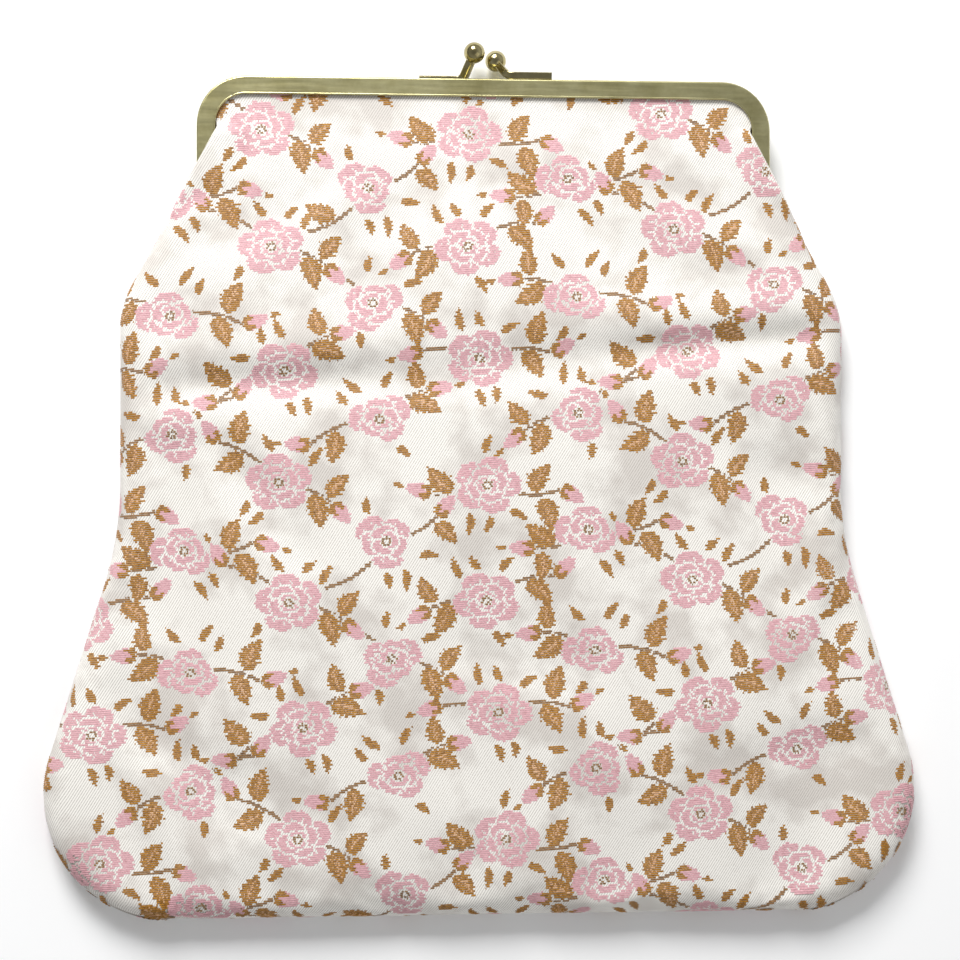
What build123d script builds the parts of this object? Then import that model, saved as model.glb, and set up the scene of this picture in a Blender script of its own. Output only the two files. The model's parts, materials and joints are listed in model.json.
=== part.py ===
from build123d import *
import os

# A kiss-lock clutch purse lying on its back, closed. Units are millimetres.
#
# +X runs across the purse, +Y from the bottom seam towards the clasp, and +Z up out of the
# surface that it lies on. The origin is on that surface, under the middle of the whole purse.
# Two channels of pressed brass are riveted together at their leg ends, and each grips the
# edge of a three-layer fabric wall with a paper cord. The front wall bends at the hinge line,
# so each of its layers is two solids: one below that line, and one that the front frame carries.

# ---------------------------------------------------------------- driving dimensions
frame_width = 152.0  # outside, across the legs: a six inch frame
hinge_drop = 33.0  # top of the frame down to the rivets
corner_radius = 13.0
band = 4.65  # how much of each channel is seen from the front
channel_depth = 4.3
metal = 0.6
frame_gap = 0.4  # between the two closed channels
bead_radius = 0.3  # the rolled edge that the fabric comes out under
bead_overlap = 0.1  # how far the bead runs into the face
bead_proud = 0.05  # how far it stands above the face
frame_rounding = 0.48  # of the channel's outer edge
leg_stop = 6.5  # the channel ends this far above the rivet

ear_radius = 3.0
ear_gap = 0.15
rivet_radius = 1.0
rivet_head_radius = 1.9
rivet_tail_radius = 1.7
rivet_head_height = 0.8
rivet_rounding = 0.48
step_height = 2.5  # of the step that carries each back ear inwards
running_clearance = 0.05

ball_radius = 2.8
ball_gap = 0.3  # between the two balls as they pass
ball_lean = 1.6  # how far each ball reaches past the middle plane
front_ball_height = 6.0
back_ball_height = 7.4
arm_width = 2.4
arm_thickness = 2.0
arm_rounding = 0.35
arm_bend_x = 5.9
arm_bend_radius = 2.2
tab_setback = 0.3  # how far the tab lies below the face of its channel
tab_end_x = 17.5

thickness = 11.0  # the closed purse
outer_fabric = 0.6
interlining = 0.55
lining = 0.3
layer_gap = 0.05
edge_radius = 4.0  # how round the purse's edge is

neck_drop = 12.4  # where the fabric first covers the legs
neck_half_width = 70.0
shoulder = (95.7, 60.8)  # half width and drop of each corner of the silhouette
waist = (95.7, 122.9)
foot = (128.4, 222.0)
shoulder_radius = 26.0
waist_radius = 90.0
foot_radius = 33.5

cord_diameter = 1.35
cord_setback = 3.0  # the cord ends this far above the leg ends
stitch_pitch = 4.0
stitch_radius = 0.15
stitch_length = 1.6
stitch_start = 4.0  # below the inner layers' rim

join = 0.5  # how far the parts of one piece run into each other
overshoot = 1.0  # how far a cutting shape runs past what it cuts
ear_clearance = 0.25  # between the inner layers and the ears
slope_thinning = 0.2
tolerance = 0.01

# ---------------------------------------------------------------- places that follow
half_width = frame_width / 2
middle = thickness / 2
bag_drop = foot[1]
clasp_top = back_ball_height + ball_radius
overall_length = bag_drop + clasp_top
frame_top = overall_length / 2 - clasp_top
hinge_y = frame_top - hinge_drop
leg_end = hinge_y + leg_stop

front_channel_low = middle + frame_gap / 2
front_channel_high = front_channel_low + channel_depth
slot_clearance = 0.3
slot_edge = metal + slot_clearance  # from the frame's outside to the edge of the fabric in it
ear_inner = half_width - 2 * metal - ear_gap
neck_limit = ear_inner - ear_clearance  # half width of the layers that pass between the ears

# heights of the three layers of the front wall where the channel grips them
grip_top = front_channel_high - metal - layer_gap
outer_grip = (grip_top - outer_fabric, grip_top)
inter_grip = (outer_grip[0] - layer_gap - interlining, outer_grip[0] - layer_gap)
lining_grip = (inter_grip[0] - layer_gap - lining, inter_grip[0] - layer_gap)
cord_height = (front_channel_low + metal + lining_grip[0]) / 2

# the front wall is cut here, so that the half which turns with the frame clears the other
top_part_drop = hinge_drop - 7.0
notch_half_width = 72.5
notch_drop = hinge_drop + 7.5
rim_drop = hinge_drop + 4.0  # side walls start below the rivets
slope_start = band + 0.65
inner_slope_drop = hinge_drop + 7.0
inner_rim_drop = hinge_drop + 11.0
far = 400.0  # larger than the purse in every direction


def y_at(drop):
    """The Y of a line that is drop below the top of the frame."""
    return frame_top - drop


def slab(x_low, x_high, y_low, y_high, z_low, z_high):
    """A box given by its limits."""
    size = (x_high - x_low, y_high - y_low, z_high - z_low)
    place = Pos((x_low + x_high) / 2, (y_low + y_high) / 2, (z_low + z_high) / 2)
    return place * Box(*size)


def between(drop_low, drop_high):
    """All the space from one drop down to another."""
    return slab(-far, far, y_at(drop_high), y_at(drop_low), -far, far)


def turned_over(shape):
    """The same shape on the back half of the purse."""
    return mirror(shape, about=Plane.XY.offset(middle))


def prism(face, z_low, z_high):
    """A flat face in XY given a thickness."""
    return Pos(0, 0, z_low) * extrude(face, z_high - z_low)


# ---------------------------------------------------------------- the two frame channels
def arch(inset, y_low):
    """The frame's outline, closed across its open end at y_low and drawn in by inset."""
    top = frame_top - inset
    wide = frame_width - 2 * inset
    face = Pos(0, (top + y_low) / 2) * Rectangle(wide, top - y_low)
    corners = face.vertices().group_by(Axis.Y)[-1]
    return fillet(corners, corner_radius - inset)


def band_between(inset_low, inset_high):
    """The strip of the arch between two insets."""
    return arch(inset_low, leg_end) - arch(inset_high, leg_end - overshoot)


def channel():
    """The front half's channel: face, edge wall and inside wall, with a rolled bead on the face."""
    low, high = front_channel_low, front_channel_high
    edge_wall = prism(band_between(0, metal), low, high)
    face = prism(band_between(0, band), high - metal, high)
    inside = prism(band_between(0, band), low, low + metal)
    body = edge_wall + face + inside
    rim = body.edges().group_by(Axis.Z)[-1]
    outline = [e for e in rim if e.length > channel_depth and on_outline(e)]
    body = fillet(outline, frame_rounding)
    return body + bead(high - bead_radius + bead_proud)


def on_outline(edge):
    """True for an edge that lies on the outside of the arch."""
    p = edge @ 0.5
    on_side = abs(abs(p.X) - half_width) < tolerance
    on_top = abs(p.Y - frame_top) < tolerance
    corner_x = half_width - corner_radius
    corner_y = frame_top - corner_radius
    reach = ((abs(p.X) - corner_x) ** 2 + (p.Y - corner_y) ** 2) ** 0.5
    on_corner = abs(p.X) > corner_x and p.Y > corner_y and abs(reach - corner_radius) < tolerance
    return on_side or on_top or on_corner


def frame_path(inset, y_low, height):
    """A line that follows the frame from one leg end to the other, drawn in by inset."""
    wide = half_width - inset
    top = frame_top - inset
    points = [(-wide, y_low, height), (-wide, top, height), (wide, top, height), (wide, y_low, height)]
    return FilletPolyline(*points, radius=corner_radius - inset)


def bead(height):
    """The rolled edge of the channel's face."""
    path = frame_path(band - bead_overlap, leg_end, height)
    start = path @ 0
    section = Plane(origin=start, z_dir=(0, 1, 0)) * Circle(bead_radius)
    return sweep(section, path=path)


def ear(side, x_inner, bore):
    """The flat tongue from a leg end of the front channel to its rivet, with a hole for the rivet."""
    low = front_channel_low - middle
    high = front_channel_high - middle
    outline = [
        (leg_stop + overshoot, low),
        (leg_stop + overshoot, high),
        (leg_stop, high),
        (0, ear_radius),
        (0, -ear_radius),
        (leg_stop, low),
    ]
    across = Plane(origin=(0, hinge_y, middle), x_dir=(0, 1, 0), z_dir=(1, 0, 0))
    face = make_face(Polyline(*outline, close=True)) + Circle(ear_radius) - Circle(bore)
    tongue = extrude(across * face, metal)
    outward = Pos(x_inner, 0, 0) * tongue
    return outward if side > 0 else mirror(outward, about=Plane.YZ)


def front_frame():
    """The channel with ears that carry on from its edge wall."""
    shape = channel()
    for side in (-1, 1):
        shape = shape + ear(side, half_width - metal, rivet_radius + running_clearance)
    return shape


def back_frame():
    """The same channel turned over, with ears stepped inwards to lie inside the front ones."""
    shape = channel()
    for side in (-1, 1):
        shape = shape + ear(side, ear_inner, rivet_radius)
        step_top = leg_end + step_height
        step = slab(ear_inner, half_width, leg_end, step_top, front_channel_low, front_channel_high)
        shape = shape + (step if side > 0 else mirror(step, about=Plane.YZ))
    return turned_over(shape)


def hinge_rivet(side):
    """Head outside, shank through both ears, and the spread tail inside."""
    head = half_width + running_clearance
    parts = [
        (head, head + rivet_head_height, rivet_head_radius),
        (ear_inner, head, rivet_radius),
        (ear_inner - rivet_head_height, ear_inner, rivet_tail_radius),
    ]
    shape = None
    for x_low, x_high, radius in parts:
        across = Plane(origin=(x_low, hinge_y, middle), z_dir=(1, 0, 0))
        drum = extrude(across * Circle(radius), x_high - x_low)
        shape = drum if shape is None else shape + drum
    head_edge = shape.edges().group_by(Axis.X)[-1]
    shape = fillet(head_edge, rivet_rounding)
    return shape if side > 0 else mirror(shape, about=Plane.YZ)


def frame_cord():
    """The paper cord that packs the front channel."""
    inset = metal + cord_diameter / 2 + layer_gap
    path = frame_path(inset, leg_end + cord_setback, cord_height)
    section = Plane(origin=path @ 0, z_dir=(0, 1, 0)) * Circle(cord_diameter / 2)
    return sweep(section, path=path)


# ---------------------------------------------------------------- the kiss-lock clasp
def clasp(height):
    """The front half's clasp: an arm bent up from a soldered tab, and the ball on its end."""
    tab_height = front_channel_high - tab_setback - arm_width / 2
    tab_y = frame_top + arm_thickness / 2
    ball_x = ball_radius + ball_gap / 2
    ball_centre = (ball_x, frame_top + height, middle - ball_lean)
    points = [(tab_end_x, tab_y, tab_height), (arm_bend_x, tab_y, tab_height), ball_centre]
    path = FilletPolyline(*points, radius=arm_bend_radius)
    end = Plane(origin=points[0], x_dir=(0, 0, 1), z_dir=(-1, 0, 0))
    section = end * RectangleRounded(arm_width, arm_thickness, arm_rounding)
    arm = sweep(section, path=path)
    ball = Pos(*ball_centre) * Sphere(ball_radius) - arm
    return arm, ball


# ---------------------------------------------------------------- the fabric bag
def silhouette(inset):
    """The purse's outline, drawn in by inset. It is carried on up to the frame's top, to be cut later."""
    slope = (shoulder[0] - neck_half_width) / (shoulder[1] - neck_drop)
    crown = neck_half_width - neck_drop * slope
    corners = [(crown, 0), shoulder, waist, foot]
    right = [(x, y_at(drop)) for x, drop in corners]
    left = [(-x, y) for x, y in reversed(right)]
    face = make_face(Polyline(*right, *left, close=True))
    for (_, drop), radius in ((shoulder, shoulder_radius), (waist, waist_radius), (foot, foot_radius)):
        pair = [v for v in face.vertices() if abs(v.Y - y_at(drop)) < tolerance]
        face = fillet(pair, radius)
    return offset(face, -inset) if inset else face


def pillow(inset):
    """The closed bag as a solid with rounded edges, drawn in by inset all over."""
    solid = prism(silhouette(inset), inset, thickness - inset)
    rims = [e for e in solid.edges() if e.is_closed or abs((e @ 0).Z - (e @ 1).Z) < tolerance]
    flat = [e for e in rims if abs((e @ 0.5).Y - y_at(0)) > edge_radius]
    return fillet(flat, edge_radius - inset)


def layer(inset, depth):
    """One layer of the bag, all round it."""
    return pillow(inset) - pillow(inset + depth)


def front_half(shape):
    """What lies above the middle plane."""
    return shape & slab(-far, far, -far, far, middle, far)


def notch():
    """The two corners left open round the rivets, where the fabric is slit."""
    high = slab(notch_half_width, far, y_at(notch_drop), far, -far, far)
    return high + mirror(high, about=Plane.YZ)


def front_wall(shell):
    """The front wall below the hinge line, with its share of the sides."""
    return (front_half(shell) & between(hinge_drop, far)) - notch()


def outer_neck():
    """The top of the outer fabric: out of the channel, over its bead, and flat over the legs."""
    low, high = outer_grip
    face_low = thickness - outer_fabric
    grip = prism(arch(slot_edge, leg_end), low, high) & between(-far, slope_start)
    profile = [
        (y_at(slope_start - join), low),
        (y_at(slope_start - join), high),
        (y_at(slope_start), high),
        (y_at(neck_drop), thickness),
        (y_at(neck_drop + outer_fabric), thickness),
        (y_at(neck_drop + outer_fabric), face_low),
        (y_at(neck_drop + outer_fabric / 2), face_low),
        (y_at(slope_start + slope_thinning), low),
    ]
    side = Plane(origin=(0, 0, 0), x_dir=(0, 1, 0), z_dir=(1, 0, 0))
    strip = extrude(side * make_face(Polyline(*profile, close=True)), half_width, both=True)
    strip = strip & prism(arch(slope_start - layer_gap, y_at(rim_drop)), 0, thickness)
    flat = prism(silhouette(0), face_low, thickness)
    return grip + strip + (flat & between(neck_drop, rim_drop + overshoot))


def inner_neck(heights, inset, depth):
    """The top of an inner layer: gripped by the channel and legs, then out to the bag's face."""
    low, high = heights
    face_high = thickness - inset
    face_low = face_high - depth
    grip = prism(arch(slot_edge, y_at(inner_slope_drop)), low, high)
    profile = [
        (y_at(inner_slope_drop - join), low),
        (y_at(inner_slope_drop - join), high),
        (y_at(inner_slope_drop), high),
        (y_at(inner_rim_drop), face_high),
        (y_at(inner_rim_drop + join), face_high),
        (y_at(inner_rim_drop + join), face_low),
        (y_at(inner_rim_drop), face_low),
        (y_at(inner_slope_drop), low),
    ]
    side = Plane(origin=(0, 0, 0), x_dir=(0, 1, 0), z_dir=(1, 0, 0))
    strip = extrude(side * make_face(Polyline(*profile, close=True)), neck_limit, both=True)
    return (grip & slab(-neck_limit, neck_limit, -far, far, -far, far)) + strip


def seam_stitches(inset, pitch):
    """Short threads through the side walls, one after another down the sides and along the bottom."""
    line = silhouette(inset).face().outer_wire()
    count = int(line.length / pitch)
    stitches = []
    for i in range(count):
        p = line @ (i / count)
        if p.Y > y_at(inner_rim_drop + stitch_start):
            continue
        foot_point = Pos(p.X, p.Y, middle)
        stitches.append(foot_point * Cylinder(stitch_radius, stitch_length))
    return Compound(stitches)


# ---------------------------------------------------------------- write each sub-part
inter_inset = outer_fabric + layer_gap
lining_inset = inter_inset + interlining + layer_gap
inter_neck = inner_neck(inter_grip, inter_inset, interlining)
lining_neck = inner_neck(lining_grip, lining_inset, lining)
layers = {
    "outer": (layer(0, outer_fabric), outer_neck(), rim_drop),
    "interlining": (layer(inter_inset, interlining), inter_neck, inner_rim_drop),
    "lining": (layer(lining_inset, lining), lining_neck, inner_rim_drop),
}

front_arm, front_ball = clasp(front_ball_height)
high_arm, high_ball = clasp(back_ball_height)
half_turn = Plane.YZ
parts = {
    "front_frame": front_frame(),
    "back_frame": back_frame(),
    "hinge_rivet_left": hinge_rivet(-1),
    "hinge_rivet_right": hinge_rivet(1),
    "front_frame_cord": frame_cord(),
    "back_frame_cord": turned_over(frame_cord()),
    "front_clasp_arm": front_arm,
    "front_clasp_ball": front_ball,
    "back_clasp_arm": mirror(turned_over(high_arm), about=half_turn),
    "back_clasp_ball": mirror(turned_over(high_ball), about=half_turn),
}
for name, (shell, neck, rim) in layers.items():
    whole = neck + (front_half(shell) & between(rim, far))
    parts[f"{name}_back_panel"] = turned_over(whole)
    parts[f"{name}_front_panel"] = front_wall(shell)
    parts[f"{name}_front_panel_top"] = neck & between(-far, top_part_drop)
parts["outer_seam_stitches"] = seam_stitches(outer_fabric / 2, stitch_pitch)
parts["lining_seam_stitches"] = seam_stitches(lining_inset + lining / 2, stitch_pitch)

os.makedirs("parts", exist_ok=True)
for name, shape in parts.items():
    export_step(shape, f"parts/{name}.step")
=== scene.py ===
import json
import math
import bpy
import numpy as np
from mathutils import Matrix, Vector


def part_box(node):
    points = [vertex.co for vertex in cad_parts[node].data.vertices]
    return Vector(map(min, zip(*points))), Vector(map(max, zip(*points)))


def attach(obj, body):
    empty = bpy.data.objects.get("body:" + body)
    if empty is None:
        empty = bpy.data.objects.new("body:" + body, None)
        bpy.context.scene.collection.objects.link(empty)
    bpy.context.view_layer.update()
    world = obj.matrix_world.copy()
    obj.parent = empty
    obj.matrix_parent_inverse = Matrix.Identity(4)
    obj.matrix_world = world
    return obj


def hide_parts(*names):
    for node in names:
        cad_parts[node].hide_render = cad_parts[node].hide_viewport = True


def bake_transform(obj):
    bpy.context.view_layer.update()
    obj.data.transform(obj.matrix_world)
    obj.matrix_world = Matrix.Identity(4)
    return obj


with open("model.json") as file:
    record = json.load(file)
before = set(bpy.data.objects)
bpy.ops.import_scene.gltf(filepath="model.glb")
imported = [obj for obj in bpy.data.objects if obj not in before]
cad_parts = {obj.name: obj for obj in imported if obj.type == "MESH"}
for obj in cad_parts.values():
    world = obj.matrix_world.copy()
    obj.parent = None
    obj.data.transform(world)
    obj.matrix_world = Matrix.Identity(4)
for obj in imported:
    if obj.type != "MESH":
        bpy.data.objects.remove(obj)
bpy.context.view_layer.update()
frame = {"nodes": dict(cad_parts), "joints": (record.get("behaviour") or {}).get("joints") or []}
mm = 0.001
rng = np.random.default_rng(7)

# places taken from the metalwork and the bag it carries
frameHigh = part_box("front_frame")[1]
bagLow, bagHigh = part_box("outer_back_panel")
hingeY, hingeZ = frame["joints"][0]["pos_m"][1:]
frameTop = frameHigh.y
faceHeight = frameHigh.z
bagDrop = frameTop - bagLow.y
bagHalf = bagHigh.x
clothTop = 2 * hingeZ

# the bag's shape: half widths and drops below the top of the frame
bag = {
    "start": (72.6 * mm, 3.6 * mm),  # the cloth's top corner, 0.44 mm past the channel's rounded one
    "tuck": (72.6 * mm, 10.4 * mm),
    "neck": (70.3 * mm, 12.6 * mm),  # where it comes out and over the leg
    "shoulder": (96.3 * mm, 60.8 * mm),
    "waist": (96.3 * mm, 120.5 * mm),
    "foot": (bagHalf + 12.83 * mm, bagDrop),
    "radii": [1 * mm, 2 * mm, 26 * mm, 90 * mm, 33.5 * mm],
    "gripDepth": 1.0 * mm,  # the cloth's top below the face of the channel
    "lip": 5.0 * mm,  # inner edge of the channel's rolled lip
    "lipRadius": 8.0 * mm,
    "rollRadius": 7.5 * mm,
    "crown": 1.5 * mm,
    "outer": 0.6 * mm,
    "interlining": 0.5 * mm,
    "lining": 0.3 * mm,
    "gap": 0.06 * mm,
    "cell": 1.35 * mm,
    "sewn": (27 * mm, 43 * mm),  # the drops between which the side seams close
}


def smooth(value, low, high):
    t = np.clip((value - low) / (high - low), 0, 1)
    return t * t * (3 - 2 * t)


def sewnShare(drop):
    # 0 where the bag's sides stand open, 1 where they are sewn together
    return smooth(drop, *bag["sewn"])


def filletCorner(before, corner, after, radius, step):
    before, corner, after = (np.array(p, float) for p in (before, corner, after))
    into = (before - corner) / np.linalg.norm(before - corner)
    out = (after - corner) / np.linalg.norm(after - corner)
    opening = math.acos(np.clip(into @ out, -1, 1))
    reach = radius / math.tan(opening / 2)
    centre = corner + (into + out) / np.linalg.norm(into + out) * radius / math.sin(opening / 2)
    first, last = corner + into * reach - centre, corner + out * reach - centre
    sweep = math.pi - opening
    turn = np.sign(first[0] * last[1] - first[1] * last[0])
    angles = np.linspace(0, sweep, max(3, int(sweep * radius / step)) + 1) * turn
    cosines, sines = np.cos(angles), np.sin(angles)
    x = first[0] * cosines - first[1] * sines
    y = first[0] * sines + first[1] * cosines
    return centre + np.stack([x, y], axis=1)


def sideOutline():
    # right-hand edge from the top of the cloth to the start of the straight bottom edge
    names = ["start", "tuck", "neck", "shoulder", "waist", "foot"]
    corners = [bag[name] for name in names] + [(0, bagDrop)]
    points = [np.array([corners[0]])]
    for i, radius in enumerate(bag["radii"], start=1):
        arc = filletCorner(corners[i - 1], corners[i], corners[i + 1], radius, bag["cell"])
        last = points[-1][-1]
        count = int(np.linalg.norm(arc[0] - last) / bag["cell"])
        run = [last + (arc[0] - last) * k / count for k in range(1, count)] if count > 1 else []
        points.append(np.array(run).reshape(-1, 2))
        points.append(arc)
    return np.concatenate([p for p in points if len(p)])


outline = sideOutline()
rowDrops = outline[:, 1]
rowHalves = outline[:, 0]
# columns as shares of the half width, even in the middle and closer together towards the seam
edgeSteps = np.array([0, 0.0015, 0.004, 0.008, 0.013, 0.02, 0.028, 0.038, 0.05])
evenColumns = np.linspace(0, 0.9375, 74)
halfColumns = np.concatenate([evenColumns, 1 - edgeSteps[::-1]])
columns = np.concatenate([-halfColumns[:0:-1], halfColumns])
print("outline", len(rowDrops), "rows", len(columns), "columns")


def edgeDistance(x, drop):
    # distance to the sewn edge, sides and bottom
    edge = outline[outline[:, 1] > bag["neck"][1] - 1 * mm]
    far = np.full(x.shape, 1.0)
    for edgeX, edgeDrop in edge:
        far = np.minimum(far, np.hypot(np.abs(x) - edgeX, drop - edgeDrop))
    return np.minimum(far, bagDrop - drop)


def lipDistance(x, drop):
    # distance inwards from the inner line of the channel's lip
    side = frameHigh.x - bag["lip"] - np.abs(x)
    top = drop - bag["lip"]
    radius = bag["lipRadius"]
    corner = radius - np.hypot(np.maximum(radius - side, 0), np.maximum(radius - top, 0))
    return np.where((side < radius) & (top < radius), corner, np.minimum(side, top))


# folds and soft waves that the cloth lies in, in millimetres from the middle and down from the frame
folds = {
    "front": [
        # (from x, drop), (to x, drop), depth, width
        ((-99, 83), (-30, 80), 1.3, 5.0),
        ((-35, 80), (40, 73), 0.9, 6.5),
        ((35, 73), (99, 67), 1.9, 4.5),
        ((-99, 74), (-20, 70), -1.0, 7.0),
        ((20, 64), (99, 59), -1.2, 6.5),
        ((-70, 96), (-45, 130), 0.9, 6.0),
        ((72, 100), (80, 140), 1.0, 6.0),
        ((-20, 150), (30, 158), 0.8, 8.0),
        ((-95, 170), (-60, 186), 0.9, 7.0),
        ((50, 184), (105, 176), 0.9, 7.0),
    ],
    "back": [
        ((-99, 78), (99, 74), 0.5, 8.0),
        ((-60, 150), (50, 165), 0.4, 10.0),
    ],
    "wave": 1.0,  # height of the soft waves all over
    "fadeIn": (-0.15, 0.2),  # shares of a fold's length over which it starts and ends
    "fadeOut": (0.8, 1.15),
}


def foldDepth(side, x, drop):
    total = np.zeros_like(x)
    for start, end, depth, width in folds[side]:
        a, b = np.array(start) * mm, np.array(end) * mm
        along = b - a
        t = ((x - a[0]) * along[0] + (drop - a[1]) * along[1]) / (along @ along)
        inside = np.clip(t, 0, 1)
        far = np.hypot(x - a[0] - inside * along[0], drop - a[1] - inside * along[1])
        fade = smooth(t, *folds["fadeIn"]) * (1 - smooth(t, *folds["fadeOut"]))
        total -= depth * mm * fade * np.exp(-((far / (width * mm)) ** 2))
    # broad crossing ripples, then finer and weaker ones
    waves = np.sin(x * 61 + drop * 23 + 1.0) * np.sin(drop * 47 - x * 19 + 0.6)
    waves += 0.6 * np.sin(x * 113 - drop * 71 + 2.0) * np.sin(drop * 97 + x * 31)
    return total + folds["wave"] * mm * waves * 0.5


# how the wall's height changes with the distance from the seam, the lip and the top
rise = {
    "foldsFromSeam": (2 * mm, 14 * mm),
    "foldsFromTop": (14 * mm, 34 * mm),
    "crownFromSeam": (0, 60 * mm),
    "crownFromTop": (8 * mm, 70 * mm),
    "rimHeight": 0.7 * mm,  # rounding of the open flap's edge
    "rimWidth": 1.4 * mm,
    "flapClear": 0.15 * mm,
    "fromLip": (0.2 * mm, 20 * mm),  # from the grip in the channel up to the full height
    "pastNeck": (-1 * mm, 3 * mm),  # beyond the neck the cloth lies over the legs
    "besideLip": (1 * mm, 9 * mm),
    "freeOfLip": (16 * mm, 34 * mm),
    "least": 0.2 * mm,  # the back's lowest height above the table
}


def quarterRound(distance, radius):
    return np.sqrt(1 - (1 - np.clip(distance / radius, 0, 1)) ** 2)


def wallHeight(side, x, drop):
    # height of the cloth's outer face above the table
    toSeam, toLip = edgeDistance(x, drop), lipDistance(x, drop)
    waviness = foldDepth(side, x, drop)
    waviness = waviness * smooth(toSeam, *rise["foldsFromSeam"]) * smooth(drop, *rise["foldsFromTop"])
    crown = 0
    if side == "front":
        crown = bag["crown"] * smooth(toSeam, *rise["crownFromSeam"]) * smooth(drop, *rise["crownFromTop"])
    body = hingeZ * quarterRound(toSeam, bag["rollRadius"]) + crown + waviness
    rim = rise["rimHeight"] * (1 - quarterRound(toSeam, rise["rimWidth"]))
    flap = clothTop - hingeZ + crown + waviness - rise["flapClear"] - rim
    grip = faceHeight - bag["gripDepth"] - hingeZ
    under = grip + (flap + rim - grip) * smooth(toLip, *rise["fromLip"])
    over = smooth(drop - bag["neck"][1], *rise["pastNeck"]) * (1 - smooth(toLip, *rise["besideLip"]))
    over = np.maximum(over, smooth(drop, *rise["freeOfLip"]))
    neck = under + (flap - under) * over
    height = neck + (body - neck) * sewnShare(drop)
    if side == "front":
        return hingeZ + height
    return np.maximum(hingeZ - height, rise["least"])


def gridNormals(points):
    along = np.gradient(points, axis=1)
    down = np.gradient(points, axis=0)
    normal = np.cross(down, along)
    return normal / np.maximum(np.linalg.norm(normal, axis=2, keepdims=True), 1e-12)


def wallGrid(side):
    x = rowHalves[:, None] * columns[None, :]
    drop = np.repeat(rowDrops[:, None], len(columns), axis=1)
    z = wallHeight(side, x, drop)
    return np.stack([x, frameTop - drop, z], axis=2)


walls = {side: wallGrid(side) for side in ("front", "back")}
print("cloth walls laid out")

settling = {
    "rows": 66,
    "columns": 61,
    "from": 30 * mm,  # the mouth above this is held by the frame
    "slack": 0.0065,  # the cloth is cut this much larger than the bag
    "pressure": 0.35,
    "mass": 0.15,
    "stretch": 20,  # how stiff the cloth is against stretch, shear and bending
    "shear": 8,
    "bending": 0.3,
    "quality": 8,
    "frames": 24,
    "most": (0.8 * mm, 0.8 * mm, 1.8 * mm),  # cap on how far a point may move
    "swell": 0.3,  # share kept of the even swelling between the puckers
    "swellSoften": 60,  # rounds of softening that leave only the even swelling
    "soften": 3,
}


def softened(field, times):
    for _ in range(times):
        for axis in (0, 1):
            ahead, behind = np.roll(field, -1, axis), np.roll(field, 1, axis)
            inside = (slice(1, -1), slice(None)) if axis == 0 else (slice(None), slice(1, -1))
            field[inside] = ((ahead + behind) * 0.25 + field * 0.5)[inside]
    return field


def closedBag(front, back):
    # both walls as one mesh, which share their points along the seams
    high, wide = front.shape[:2]
    number = np.arange(high * wide).reshape(high, wide)
    other = number + high * wide
    other[:, 0], other[:, -1], other[-1] = number[:, 0], number[:, -1], number[-1]
    faces = []
    for i in range(high - 1):
        for j in range(wide - 1):
            corners = ((i, j), (i + 1, j), (i + 1, j + 1), (i, j + 1))
            faces.append(tuple(int(number[c]) for c in corners))
            faces.append(tuple(int(other[c]) for c in reversed(corners)))
    for j in range(wide - 1):
        faces.append(tuple(int(n) for n in (number[0, j], number[0, j + 1], other[0, j + 1], other[0, j])))
    points = np.concatenate([front.reshape(-1, 3), back.reshape(-1, 3)])
    mesh = bpy.data.meshes.new("settling")
    mesh.from_pydata(points.tolist(), [], faces)
    bag3d = bpy.data.objects.new("settling", mesh)
    bpy.context.scene.collection.objects.link(bag3d)
    rim = np.zeros((high, wide), bool)
    rim[:, 0] = rim[:, -1] = rim[-1] = True
    pinned = (frameTop - points[:, 1] < settling["from"]) | np.concatenate([rim.ravel(), rim.ravel()])
    held = bag3d.vertex_groups.new(name="held")
    held.add([int(k) for k in np.flatnonzero(pinned)], 1.0, "REPLACE")
    return bag3d, points


def letGo(bag3d, points):
    # runs the cloth and gives how far each point has moved
    cloth = bag3d.modifiers.new("settle", "CLOTH").settings
    cloth.quality = settling["quality"]
    cloth.mass = settling["mass"]
    cloth.tension_stiffness = cloth.compression_stiffness = settling["stretch"]
    cloth.shear_stiffness = settling["shear"]
    cloth.bending_stiffness = settling["bending"]
    cloth.vertex_group_mass = "held"
    cloth.shrink_min = -settling["slack"]
    cloth.use_pressure = True
    cloth.uniform_pressure_force = settling["pressure"]
    cloth.effector_weights.gravity = 0
    scene = bpy.context.scene
    for step in range(1, settling["frames"] + 1):
        scene.frame_set(step)
    settled = bag3d.evaluated_get(bpy.context.evaluated_depsgraph_get()).to_mesh()
    moved = np.zeros(len(points) * 3)
    settled.vertices.foreach_get("co", moved)
    bpy.data.objects.remove(bag3d)
    scene.frame_set(1)
    return moved.reshape(-1, 3) - points


def spreadOut(change, rows, cols):
    # from the coarse grid of the simulation to every row and column of the wall
    fine = np.empty((len(rows), len(columns), 3))
    full = np.empty((len(rowDrops), len(columns), 3))
    for axis in range(3):
        for i in range(len(rows)):
            fine[i, :, axis] = np.interp(np.arange(len(columns)), cols, change[i, :, axis])
        for j in range(len(columns)):
            full[:, j, axis] = np.interp(np.arange(len(rowDrops)), rows, fine[:, j, axis])
    return full


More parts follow.
